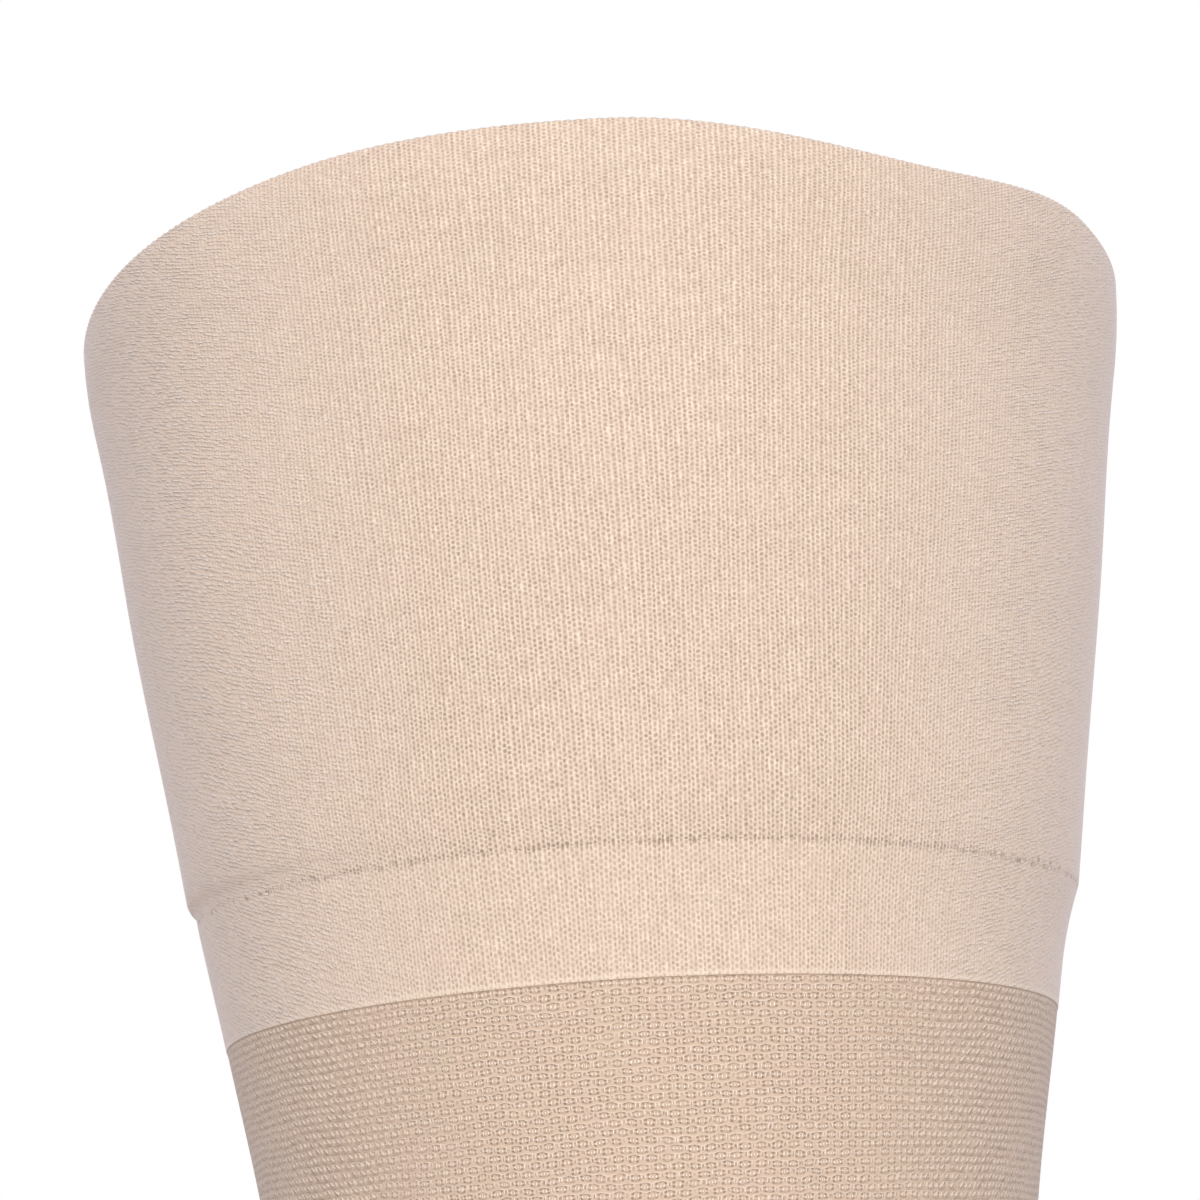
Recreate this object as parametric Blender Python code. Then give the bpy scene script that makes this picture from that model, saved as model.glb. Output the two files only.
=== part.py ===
"""Thigh-high compression stocking in its worn form, for the right leg.

Metres, +Z up, toes and shin towards -Y. The origin is the middle of the thigh band, where the thigh
holds the stocking. Each knitted stretch is a hollow wall of its own round a general leg.
"""

import math
from collections import namedtuple

import bmesh
import bpy
import numpy as np
from mathutils import Vector

MM = 0.001
SINGLE_WALL = 1.2 * MM  # one layer of knit
BAND_WALL = 2.7 * MM  # two layers of the band, puffed out by its fold
FOLD_WALL = 1.7 * MM  # the same two layers where they turn over at the rim
FOLD_FADE = 12 * MM  # the band reaches its full thickness this far below the rim
SEAM_GAP = 0.3 * MM  # between two knitted stretches
FOLD_RINGS_FROM = 5 * MM  # the band's even rings begin this far below the rim

AROUND = 48  # points in a ring
BAND_RINGS = 8
STRIP_RINGS = 3
LEG_RINGS = 25
HEEL_RINGS = 10
FOOT_RINGS = 8
TOE_RINGS = 7
FOLD_STEPS = 4  # arcs over the rim's fold
STEP_ALONG = 0.4 * MM  # for directions on the leg's surface
STEP_AROUND = math.radians(0.4)

TOE_REACH = 23 * MM  # from the last section to the tip of the toes
TOE_SWING = 5 * MM  # the tip lies this far towards the big toe
TOE_END = math.radians(78)  # the last ring before the toe closes

# The leg inside the cloth, in mm above the sole and from the leg's axis. Each section is the ring
# through its front and back points; lean is the tilt of the ring seen from the front, in degrees;
# widest is how far from the front point to the back point the ring is widest; square is the power
# of the curve behind that line, 2 for an ellipse.
Section = namedtuple("Section", "name x lean front_y front_z back_y back_z half_width widest square")
SECTIONS = (
    Section("rim", 0.0, 3.1, -88.4, 719.6, 88.4, 710.4, 88.4, 0.50, 2.0),
    Section("upper band", 1.1, 3.1, -85.3, 698.6, 85.3, 691.4, 84.0, 0.50, 2.0),
    Section("middle band", 2.7, 3.1, -82.2, 667.3, 82.2, 662.9, 79.0, 0.50, 2.0),
    Section("lower band", 4.4, 3.1, -78.1, 635.9, 78.1, 634.3, 73.5, 0.50, 2.0),
    Section("linking row", 5.4, 2.7, -75.8, 615.7, 75.8, 615.7, 70.1, 0.50, 2.0),
    Section("leg top", 6.5, 2.6, -72.9, 597.5, 72.9, 597.5, 66.4, 0.50, 2.0),
    Section("mid thigh", 8.2, 2.6, -67.9, 565.2, 67.9, 565.2, 60.0, 0.50, 2.0),
    Section("low thigh", 10.4, 2.2, -63.0, 515.0, 62.5, 515.0, 56.2, 0.50, 2.0),
    Section("knee", 12.2, 0.8, -59.5, 447.0, 59.5, 447.0, 54.6, 0.48, 2.0),
    Section("below knee", 12.5, 0.0, -53.5, 390.0, 59.5, 390.0, 50.8, 0.50, 2.0),
    Section("calf", 12.5, 0.0, -48.5, 318.0, 70.0, 318.0, 54.6, 0.56, 2.0),
    Section("low calf", 12.5, 0.0, -43.0, 235.0, 60.0, 235.0, 45.5, 0.55, 2.0),
    Section("shin", 12.5, 0.0, -37.0, 170.0, 49.0, 170.0, 36.0, 0.52, 2.0),
    Section("ankle", 12.5, 0.0, -32.5, 117.0, 45.0, 115.0, 32.0, 0.50, 2.0),
    Section("heel top", 12.5, 0.0, -39.5, 94.0, 48.5, 76.0, 33.5, 0.54, 2.0),
    Section("heel back", 12.5, 0.0, -48.5, 80.0, 56.0, 41.0, 34.5, 0.60, 2.1),
    Section("heel turn", 12.5, 0.0, -57.0, 72.0, 52.5, 12.5, 34.5, 0.66, 2.3),
    Section("heel sole", 12.5, 0.0, -66.0, 66.5, 33.0, 0.5, 34.0, 0.68, 2.5),
    Section("arch", 13.0, 0.0, -78.0, 61.0, 0.0, 2.0, 33.5, 0.68, 2.6),
    Section("mid foot", 13.5, 0.0, -94.0, 54.0, -42.0, 5.0, 36.0, 0.66, 2.6),
    Section("ball back", 14.0, 0.0, -115.0, 45.0, -90.0, 3.0, 42.5, 0.64, 2.6),
    Section("ball", 14.5, 0.0, -138.0, 35.5, -128.0, 0.5, 46.0, 0.62, 2.6),
    Section("toes", 15.5, 0.0, -161.0, 27.5, -158.0, 1.0, 43.0, 0.58, 2.5),
)

# How far the rim wanders off its ring, in mm: turn is the angle from the inner side of the thigh
# round by the front, in degrees.
RimPlace = namedtuple("RimPlace", "turn rise")
RIM_WANDER = (
    RimPlace(0, 2.6),
    RimPlace(30, 1.2),
    RimPlace(60, -3.5),
    RimPlace(90, -0.6),
    RimPlace(120, 0.3),
    RimPlace(180, 0.8),
    RimPlace(225, -0.6),
    RimPlace(270, 0.8),
    RimPlace(315, -0.8),
    RimPlace(360, 2.6),
)
WANDER_FADE = 45 * MM  # the wander has died out this far below the rim

ROWS = np.array([section[1:] for section in SECTIONS])
MIDDLES = np.array([(s.x, (s.front_y + s.back_y) / 2, (s.front_z + s.back_z) / 2) for s in SECTIONS])
REACHES = MM * np.concatenate([[0], np.cumsum(np.linalg.norm(np.diff(MIDDLES, axis=0), axis=1))])
SLOPES = np.gradient(ROWS, REACHES, axis=0)


def reach_of(name):
    """How far down the leg's middle line a named section lies."""
    return REACHES[[section.name for section in SECTIONS].index(name)]


def section_at(reach):
    """The section at any reach, on a smooth curve through the table's rows."""
    k = int(np.clip(np.searchsorted(REACHES, reach, side="right") - 1, 0, len(REACHES) - 2))
    span = REACHES[k + 1] - REACHES[k]
    t = (reach - REACHES[k]) / span
    blend = (
        (2 * t**3 - 3 * t**2 + 1) * ROWS[k]
        + (t**3 - 2 * t**2 + t) * span * SLOPES[k]
        + (3 * t**2 - 2 * t**3) * ROWS[k + 1]
        + (t**3 - t**2) * span * SLOPES[k + 1]
    )
    return Section("between", *blend)


def rim_rise(turn):
    """The rim's wander at a turn, eased between the places of its table."""
    degrees = math.degrees(turn) % 360
    for low, high in zip(RIM_WANDER, RIM_WANDER[1:]):
        if degrees <= high.turn:
            t = (degrees - low.turn) / (high.turn - low.turn)
            return MM * (low.rise + (high.rise - low.rise) * (3 - 2 * t) * t * t)
    return MM * RIM_WANDER[0].rise


def curved(value, power):
    """A cosine or sine reshaped for an ellipse of the given power."""
    return math.copysign(abs(value) ** (2 / power), value)


def leg_point(reach, turn):
    """A point of the leg's surface. Turn 0 is the +X side and a quarter turn is the front."""
    section = section_at(min(reach, REACHES[-1]))
    front = Vector((section.x, section.front_y, section.front_z)) * MM
    back = Vector((section.x, section.back_y, section.back_z)) * MM
    centre = front.lerp(back, section.widest)
    lean = math.radians(section.lean)
    sideways = Vector((math.cos(lean), 0, math.sin(lean))) * section.half_width * MM
    ahead = (front if math.sin(turn) > 0 else back) - centre
    power = 2.0 if math.sin(turn) > 0 else section.square
    offset = sideways * curved(math.cos(turn), power) + ahead * abs(curved(math.sin(turn), power))
    point = centre + offset
    if reach > REACHES[-1]:
        past = min((reach - REACHES[-1]) / TOE_REACH, 1.0)
        point = centre + offset * math.sqrt(1 - past**2)
        point += Vector((TOE_SWING * past**2, -TOE_REACH * past, 0))
    fade = max(1 - reach / WANDER_FADE, 0.0)
    up = Vector((-math.sin(lean), 0, math.cos(lean)))
    return point + up * rim_rise(turn) * fade**2


HOLD_SIDES = [leg_point(reach_of("linking row") / 2, math.radians(turn)) for turn in (0, 90, 180, 270)]
HOLD = sum(HOLD_SIDES, Vector()) / 4


def directions_at(reach, turn):
    """The unit directions down the leg, round it and out of it, at a point of its surface."""
    along = (leg_point(reach + STEP_ALONG, turn) - leg_point(reach - STEP_ALONG, turn)).normalized()
    around = (leg_point(reach, turn + STEP_AROUND) - leg_point(reach, turn - STEP_AROUND)).normalized()
    return along, around, around.cross(along).normalized()


def steps(first, last, count):
    """`count` evenly spaced values from first to last."""
    return [first + (last - first) * i / (count - 1) for i in range(count)]


def make_material(name, colour, roughness):
    material = bpy.data.materials.new(name)
    material.use_nodes = True
    shader = material.node_tree.nodes["Principled BSDF"]
    shader.inputs["Base Color"].default_value = (*colour, 1)
    shader.inputs["Roughness"].default_value = roughness
    shader.inputs["Metallic"].default_value = 0
    return material


def finish_piece(name, bm, material):
    """Turns the bmesh into a named, smoothly shaded object."""
    bmesh.ops.recalc_face_normals(bm, faces=bm.faces)
    mesh = bpy.data.meshes.new(name)
    bm.to_mesh(mesh)
    bm.free()
    mesh.shade_smooth()
    mesh.set_sharp_from_angle(angle=math.radians(50))
    mesh.materials.append(material)
    piece = bpy.data.objects.new(name, mesh)
    bpy.context.collection.objects.link(piece)
    return piece


def pull_at(i, j, has_cell):
    """Which way a grid corner leaves its piece's edge, as (along, around): towards the piece's cells."""
    cells = [(di, dj) for di in (-1, 0) for dj in (-1, 0) if has_cell(i + di, (j + dj) % AROUND)]
    along = sum(1 if di == 0 else -1 for di, _ in cells)
    around = sum(1 if dj == 0 else -1 for _, dj in cells)
    return np.sign(along), np.sign(around)


def make_shell(name, reaches, covers, material, closed_end=False):
    """A single layer of cloth over the covered cells of a grid of rings.

    The side next to the leg is made first and then extruded outwards by the wall.
    """
    bm = bmesh.new()
    outward = bm.verts.layers.float_vector.new("outward")
    last = len(reaches) - 1
    corners = {}

    def has_cell(i, j):
        return (0 <= i < last and covers(i, j)) or (closed_end and i == last)

    def corner(i, j):
        j %= AROUND
        if (i, j) not in corners:
            turn = 2 * math.pi * j / AROUND
            along, around, out = directions_at(reaches[i], turn)
            pull = pull_at(i, j, has_cell)
            shift = (along * pull[0] + around * pull[1]) * SEAM_GAP / 2
            corners[i, j] = bm.verts.new(leg_point(reaches[i], turn) + shift - HOLD)
            corners[i, j][outward] = out
        return corners[i, j]

    for i in range(last):
        for j in range(AROUND):
            if covers(i, j):
                bm.faces.new((corner(i, j), corner(i, j + 1), corner(i + 1, j + 1), corner(i + 1, j)))
    if closed_end:
        tip = bm.verts.new(leg_point(REACHES[-1] + TOE_REACH, 0) - HOLD)
        tip[outward] = Vector((0, -1, 0))
        for j in range(AROUND):
            bm.faces.new((corner(last, j), corner(last, j + 1), tip))

    grown = bmesh.ops.extrude_face_region(bm, geom=bm.faces[:], use_keep_orig=True)["geom"]
    for vert in grown:
        if isinstance(vert, bmesh.types.BMVert):
            vert.co += vert[outward] * SINGLE_WALL
    return finish_piece(name, bm, material)


def band_thickness(reach):
    """Thin at the fold, full further down."""
    t = min(reach / FOLD_FADE, 1.0)
    return FOLD_WALL + (BAND_WALL - FOLD_WALL) * (2 - t) * t


def band_profile():
    """(reach, out) up the band's outer face, over its fold and down its inner face."""
    radius = FOLD_WALL / 2
    down = [radius] + steps(FOLD_RINGS_FROM, reach_of("linking row") - SEAM_GAP / 2, BAND_RINGS)
    outer = [(reach, band_thickness(reach)) for reach in reversed(down)]
    angles = [math.pi * i / FOLD_STEPS for i in range(1, FOLD_STEPS)]
    fold = [(radius - radius * math.sin(a), radius + radius * math.cos(a)) for a in angles]
    inner = [(reach, 0.0) for reach in down]
    return outer + fold + inner


def make_band(material):
    """The double band as one wall: a closed profile carried round the thigh."""
    bm = bmesh.new()
    rings = []
    for reach, out in band_profile():
        ring = []
        for j in range(AROUND):
            turn = 2 * math.pi * j / AROUND
            ring.append(bm.verts.new(leg_point(reach, turn) + directions_at(reach, turn)[2] * out - HOLD))
        rings.append(ring)
    for ring, following in zip(rings, rings[1:] + rings[:1]):
        for j in range(AROUND):
            k = (j + 1) % AROUND
            bm.faces.new((ring[j], ring[k], following[k], following[j]))
    return finish_piece("top_band", bm, material)


def whole_ring(_ring, _cell):
    return True


def back_half(_ring, cell):
    """The half of a ring behind the leg and under the foot."""
    return cell >= AROUND // 2


def foot_cells(ring, cell):
    """The instep's half of the rings round the heel, and whole rings further on."""
    return ring >= HEEL_RINGS - 1 or not back_half(ring, cell)


def make_stocking():
    fine_knit = make_material("fine_knit", (0.86, 0.69, 0.56), 0.85)
    leg_knit = make_material("leg_knit", (0.70, 0.53, 0.41), 0.80)
    heel_knit = make_material("heel_knit", (0.82, 0.65, 0.52), 0.85)

    linking, leg_top = reach_of("linking row"), reach_of("leg top")
    heel_top, arch, toes = reach_of("heel top"), reach_of("arch"), reach_of("toes")
    round_heel = steps(heel_top, arch, HEEL_RINGS)
    along_sole = steps(arch, toes, FOOT_RINGS)
    to_tip = [toes + TOE_REACH * math.sin(angle) for angle in steps(0, TOE_END, TOE_RINGS)]

    make_band(fine_knit)
    make_shell("plain_strip", steps(linking, leg_top, STRIP_RINGS), whole_ring, fine_knit)
    make_shell("leg", steps(leg_top, heel_top, LEG_RINGS), whole_ring, leg_knit)
    make_shell("heel", round_heel, back_half, heel_knit)
    make_shell("foot", round_heel + along_sole[1:], foot_cells, leg_knit)
    make_shell("toe", to_tip, whole_ring, heel_knit, closed_end=True)


for old in list(bpy.data.objects):
    bpy.data.objects.remove(old, do_unlink=True)
make_stocking()
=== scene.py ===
import math

import bmesh
import bpy
import numpy as np
from mathutils import Matrix, Vector


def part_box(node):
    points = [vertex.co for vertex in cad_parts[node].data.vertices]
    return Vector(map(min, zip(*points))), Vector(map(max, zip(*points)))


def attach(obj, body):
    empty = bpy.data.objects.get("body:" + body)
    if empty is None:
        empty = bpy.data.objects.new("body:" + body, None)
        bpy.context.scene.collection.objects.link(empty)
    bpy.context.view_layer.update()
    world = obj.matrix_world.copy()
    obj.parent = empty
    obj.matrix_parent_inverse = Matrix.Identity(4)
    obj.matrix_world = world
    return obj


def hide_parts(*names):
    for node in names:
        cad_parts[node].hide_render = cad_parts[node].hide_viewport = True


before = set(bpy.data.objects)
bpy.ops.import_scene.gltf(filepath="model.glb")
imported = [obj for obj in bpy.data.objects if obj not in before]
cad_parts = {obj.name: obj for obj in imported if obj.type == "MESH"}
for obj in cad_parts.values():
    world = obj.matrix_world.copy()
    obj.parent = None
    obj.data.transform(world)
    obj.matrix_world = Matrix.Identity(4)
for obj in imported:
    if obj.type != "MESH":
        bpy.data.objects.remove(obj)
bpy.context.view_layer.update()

mm = 0.001


# the camera stands low before the thigh and looks up at the band
camera = dict(place=(-0.0030, -0.4300, -0.1140), lookUp=15.64, lens=77.7, film=36, near=0.01)


def setCamera():
    data = bpy.data.cameras.new("stockingCamera")
    data.lens = camera["lens"]
    data.sensor_width = camera["film"]
    data.clip_start = camera["near"]
    made = bpy.data.objects.new("stockingCamera", data)
    made.location = camera["place"]
    made.rotation_euler = (math.radians(90 + camera["lookUp"]), 0, 0)
    bpy.context.collection.objects.link(made)
    bpy.context.scene.camera = made


setCamera()
print("camera set")


# the leg that the cloth is stretched over: each row is the ring through its front and back points, in mm
# from the rim's middle and above the sole; lean is in degrees, widest is how far back the ring is widest,
# as a share of its depth, and square is the power of its back half
sectionColumns = ("x", "lean", "frontY", "frontZ", "backY", "backZ", "halfWidth", "widest", "square")
sections = {
    "rim": (0.0, 3.1, -88.4, 719.6, 88.4, 710.4, 88.4, 0.50, 2.0),
    "upperBand": (1.1, 3.1, -85.3, 698.6, 85.3, 691.4, 84.0, 0.50, 2.0),
    "middleBand": (2.7, 3.1, -82.2, 667.3, 82.2, 662.9, 79.0, 0.50, 2.0),
    "lowerBand": (4.4, 3.1, -78.1, 635.9, 78.1, 634.3, 73.5, 0.50, 2.0),
    "linkingRow": (5.4, 2.7, -75.8, 615.7, 75.8, 615.7, 70.1, 0.50, 2.0),
    "legTop": (6.5, 2.6, -72.9, 597.5, 72.9, 597.5, 66.4, 0.50, 2.0),
    "midThigh": (8.2, 2.6, -67.9, 565.2, 67.9, 565.2, 60.0, 0.50, 2.0),
    "lowThigh": (10.4, 2.2, -63.0, 515.0, 62.5, 515.0, 56.2, 0.50, 2.0),
    "knee": (12.2, 0.8, -59.5, 447.0, 59.5, 447.0, 54.6, 0.48, 2.0),
    "belowKnee": (12.5, 0.0, -53.5, 390.0, 59.5, 390.0, 50.8, 0.50, 2.0),
    "calf": (12.5, 0.0, -48.5, 318.0, 70.0, 318.0, 54.6, 0.56, 2.0),
    "lowCalf": (12.5, 0.0, -43.0, 235.0, 60.0, 235.0, 45.5, 0.55, 2.0),
    "shin": (12.5, 0.0, -37.0, 170.0, 49.0, 170.0, 36.0, 0.52, 2.0),
    "ankle": (12.5, 0.0, -32.5, 117.0, 45.0, 115.0, 32.0, 0.50, 2.0),
    "heelTop": (12.5, 0.0, -39.5, 94.0, 48.5, 76.0, 33.5, 0.54, 2.0),
    "heelBack": (12.5, 0.0, -48.5, 80.0, 56.0, 41.0, 34.5, 0.60, 2.1),
    "heelTurn": (12.5, 0.0, -57.0, 72.0, 52.5, 12.5, 34.5, 0.66, 2.3),
    "heelSole": (12.5, 0.0, -66.0, 66.5, 33.0, 0.5, 34.0, 0.68, 2.5),
    "arch": (13.0, 0.0, -78.0, 61.0, 0.0, 2.0, 33.5, 0.68, 2.6),
    "midFoot": (13.5, 0.0, -94.0, 54.0, -42.0, 5.0, 36.0, 0.66, 2.6),
    "ballBack": (14.0, 0.0, -115.0, 45.0, -90.0, 3.0, 42.5, 0.64, 2.6),
    "ball": (14.5, 0.0, -138.0, 35.5, -128.0, 0.5, 46.0, 0.62, 2.6),
    "toes": (15.5, 0.0, -161.0, 27.5, -158.0, 1.0, 43.0, 0.58, 2.5),
}
rimTurns = (0, 30, 60, 90, 120, 180, 225, 270, 315, 360)  # degrees, from the inner thigh round by the front
rimRises = (3.4, 1.2, -3.5, -0.6, 0.3, 0.8, -0.6, 0.8, -0.8, 3.4)  # mm
leg = dict(wall=1.2 * mm, bandWall=2.7 * mm, foldWall=1.7 * mm, foldFade=12 * mm, rimFade=45 * mm,
           toeReach=23 * mm, toeSwing=5 * mm, wales=700, cells=180)
pull = dict(rise=1.6 * mm, riseFrom=40 * mm, drop=0.8 * mm, dropTo=60 * mm)
drift = dict(wales=0.35, slowWaves=5, slowReach=30 * mm, quickWaves=13, quickReach=17 * mm, start=1.0)

rows = np.array(list(sections.values()))
column = dict(zip(sectionColumns, rows.T))
middleY, middleZ = (column["frontY"] + column["backY"]) / 2, (column["frontZ"] + column["backZ"]) / 2
middles = np.stack([column["x"], middleY, middleZ], 1)
reaches = mm * np.concatenate([[0], np.cumsum(np.linalg.norm(np.diff(middles, axis=0), axis=1))])
slopes = np.gradient(rows, reaches, axis=0)
reachOf = dict(zip(sections, reaches))
tipReach = reaches[-1] + leg["toeReach"]


def sectionAt(reach):
    # the table's columns at any reaches, eased from row to row
    k = np.clip(np.searchsorted(reaches, reach, side="right") - 1, 0, len(reaches) - 2)
    span = (reaches[k + 1] - reaches[k])[:, None]
    t = (reach - reaches[k])[:, None] / span
    found = (2 * t**3 - 3 * t**2 + 1) * rows[k] + (t**3 - 2 * t**2 + t) * span * slopes[k]
    found += (3 * t**2 - 2 * t**3) * rows[k + 1] + (t**3 - t**2) * span * slopes[k + 1]
    return dict(zip(sectionColumns, found.T))


def rimRise(turn):
    # how far the rim stands up at any turn, eased from one named turn to the next
    degrees = np.degrees(turn) % 360
    k = np.clip(np.searchsorted(rimTurns, degrees) - 1, 0, len(rimTurns) - 2)
    low, high = np.array(rimTurns)[k], np.array(rimTurns)[k + 1]
    rise, nextRise = np.array(rimRises)[k], np.array(rimRises)[k + 1]
    t = (degrees - low) / (high - low)
    return mm * (rise + (nextRise - rise) * (3 - 2 * t) * t * t)


def squared(value, power):
    # a power of 2 gives oval rings, a higher one squarer rings
    return np.sign(value) * np.abs(value) ** (2 / power)


def skinPoints(reach, turn):
    # points of the leg's surface, in metres; turn 0 is the +X side and a quarter turn is the front
    reach, turn = np.broadcast_arrays(np.asarray(reach, float), np.asarray(turn, float))
    at = sectionAt(np.minimum(reach, reaches[-1]))
    front = np.stack([at["x"], at["frontY"], at["frontZ"]], 1) * mm
    back = np.stack([at["x"], at["backY"], at["backZ"]], 1) * mm
    centre = front + (back - front) * at["widest"][:, None]
    lean = np.radians(at["lean"])
    ahead = np.sin(turn) > 0
    power = np.where(ahead, 2.0, at["square"])
    sideways = np.stack([np.cos(lean), 0 * lean, np.sin(lean)], 1) * (at["halfWidth"] * mm)[:, None]
    offset = sideways * squared(np.cos(turn), power)[:, None]
    deep = np.abs(squared(np.sin(turn), power))[:, None]
    offset = offset + np.where(ahead[:, None], front - centre, back - centre) * deep
    past = np.clip((reach - reaches[-1]) / leg["toeReach"], 0, 1)[:, None]
    points = centre + offset * np.sqrt(1 - past**2)
    points = points + np.concatenate([leg["toeSwing"] * past**2, -leg["toeReach"] * past, 0 * past], 1)
    fade = np.maximum(1 - reach / leg["rimFade"], 0) ** 2
    up = np.stack([-np.sin(lean), 0 * lean, np.cos(lean)], 1)
    return points + up * (rimRise(turn) * fade)[:, None]


quarterTurns = np.radians([0, 90, 180, 270])
holdPoint = skinPoints(np.full(4, reachOf["linkingRow"] / 2), quarterTurns).mean(0)


def unit(vectors):
    return vectors / np.linalg.norm(vectors, axis=1)[:, None]


feel = dict(reach=0.4 * mm, turn=0.007)  # how far to each side a direction of the surface is felt


def skinAxes(reach, turn):
    # unit directions round the leg, down it and out of it
    along = unit(skinPoints(reach + feel["reach"], turn) - skinPoints(reach - feel["reach"], turn))
    around = unit(skinPoints(reach, turn + feel["turn"]) - skinPoints(reach, turn - feel["turn"]))
    return around, along, unit(np.cross(around, along))


def pulled(reach, turn):
    # the linking row rides up at both sides of the thigh, and the strip's edge down at the outer one
    link, edge = reachOf["linkingRow"], reachOf["legTop"]
    up = np.interp(reach, (pull["riseFrom"], link, edge), (0, 1, 0))
    down = np.interp(reach, (link, edge, edge + pull["dropTo"]), (0, 1, 0))
    side = np.cos(turn)
    return reach - pull["rise"] * up * side**8 + pull["drop"] * down * np.clip(-side, 0, 1)


def clothPoints(reach, turn, out=0.0):
    # points `out` metres off the leg, in the part's own frame
    reach = pulled(reach, turn)
    points = skinPoints(reach, turn) - holdPoint
    if np.any(out):
        points = points + skinAxes(reach, turn)[2] * np.broadcast_to(out, len(points))[:, None]
    return points


# how far round its ring, and how far down from the leg's top, each place of the surface lies
tableRows, tableColumns = 420, 121
tableReaches = np.linspace(0, tipReach, tableRows)
tableTurns = np.linspace(-math.pi / 2, 1.5 * math.pi, tableColumns)
surface = np.stack([skinPoints(tableReaches, np.full(tableRows, turn)) for turn in tableTurns], 1)
ringSteps = np.linalg.norm(np.diff(surface, axis=1), axis=2)
ringShares = np.cumsum(np.concatenate([np.zeros((tableRows, 1)), ringSteps], 1), 1)
ringShares[:, 1:] /= np.maximum(ringShares[:, -1:], 1e-9)
downSteps = np.linalg.norm(np.diff(surface, axis=0), axis=2)
downLengths = np.cumsum(np.concatenate([np.zeros((1, tableColumns)), downSteps], 0), 0)


def fromTable(table, reach, turn):
    # reads a table of reaches by turns, evenly between its places and never past the last two
    i = np.clip(reach / tipReach * (tableRows - 1), 0, tableRows - 1.001)
    j = np.clip((turn - tableTurns[0]) / (2 * math.pi) * (tableColumns - 1), 0, tableColumns - 1.001)
    i0, j0 = i.astype(int), j.astype(int)
    di, dj = i - i0, j - j0
    top = table[i0, j0] * (1 - dj) + table[i0, j0 + 1] * dj
    low = table[i0 + 1, j0] * (1 - dj) + table[i0 + 1, j0 + 1] * dj
    return top * (1 - di) + low * di


def swayed(reach, turn):
    # the wales of the fine knit don't run quite straight
    waves = np.sin(drift["slowWaves"] * turn + reach / drift["slowReach"])
    waves = waves + np.sin(drift["quickWaves"] * turn - reach / drift["quickReach"] + drift["start"])
    return turn + drift["wales"] * waves * 2 * math.pi / leg["wales"]


weld = 0.002 * mm  # points this near each other are one


def rollCloth(name, patches, wall=None):
    # rolls flat grids up into cloth; each patch is (segments across, segments down, place, stitches),
    # where place and stitches take the shares across and down, and give points and stitch counts
    bm = bmesh.new()
    uv = bm.loops.layers.uv.new("stitches")
    for across, down, place, stitches in patches:
        made = bmesh.ops.create_grid(bm, x_segments=across, y_segments=down, size=0.5)["verts"]
        bm.verts.index_update()
        first = made[0].index
        share = np.array([vert.co[:2] for vert in made]) + 0.5
        points = place(share[:, 0], share[:, 1])
        counts = np.stack(stitches(share[:, 0], share[:, 1]), 1)
        faces = {face for vert in made for face in vert.link_faces}
        for face in faces:
            for loop in face.loops:
                loop[uv].uv = counts[loop.vert.index - first]
        for vert, point in zip(made, points):
            vert.co = point
    bmesh.ops.remove_doubles(bm, verts=bm.verts, dist=weld)
    return finishPiece(name, bm, wall)


def finishPiece(name, bm, wall=None, sharpFrom=50):  # degrees
    for face in bm.faces:
        face.smooth = True
    for edge in bm.edges:
        edge.smooth = not edge.is_boundary and edge.calc_face_angle(0) < math.radians(sharpFrom)
    mesh = bpy.data.meshes.new(name)
    bm.to_mesh(mesh)
    bm.free()
    piece = bpy.data.objects.new(name, mesh)
    bpy.context.collection.objects.link(piece)
    if wall:
        thick = piece.modifiers.new("wall", "SOLIDIFY")
        thick.thickness = wall
        thick.offset = 1
        thick.use_even_offset = True
    return piece


def dress(piece, material, slotName, *nodes):
    # the piece rides with the part, takes its finish and stands for the plain solids
    piece.data.materials.append(material)
    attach(piece, "root")
    if nodes:
        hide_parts(*nodes)


class Wire:
    # a number on its way between nodes, reckoned with as in plain Python
    def __init__(self, bench, socket):
        self.bench = bench
        self.socket = socket

    def __add__(self, other):
        return self.bench.reckon("ADD", self, other)

    def __sub__(self, other):
        return self.bench.reckon("SUBTRACT", self, other)

    def __rsub__(self, other):
        return self.bench.reckon("SUBTRACT", other, self)

    def __mul__(self, other):
        return self.bench.reckon("MULTIPLY", self, other)

    def __truediv__(self, other):
        return self.bench.reckon("DIVIDE", self, other)

    __radd__ = __add__
    __rmul__ = __mul__


gloss = dict(roughness=0.85, sheenRoughness=0.45, sheenTint=(0.88, 0.86, 1.0), specular=0.25)


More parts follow.
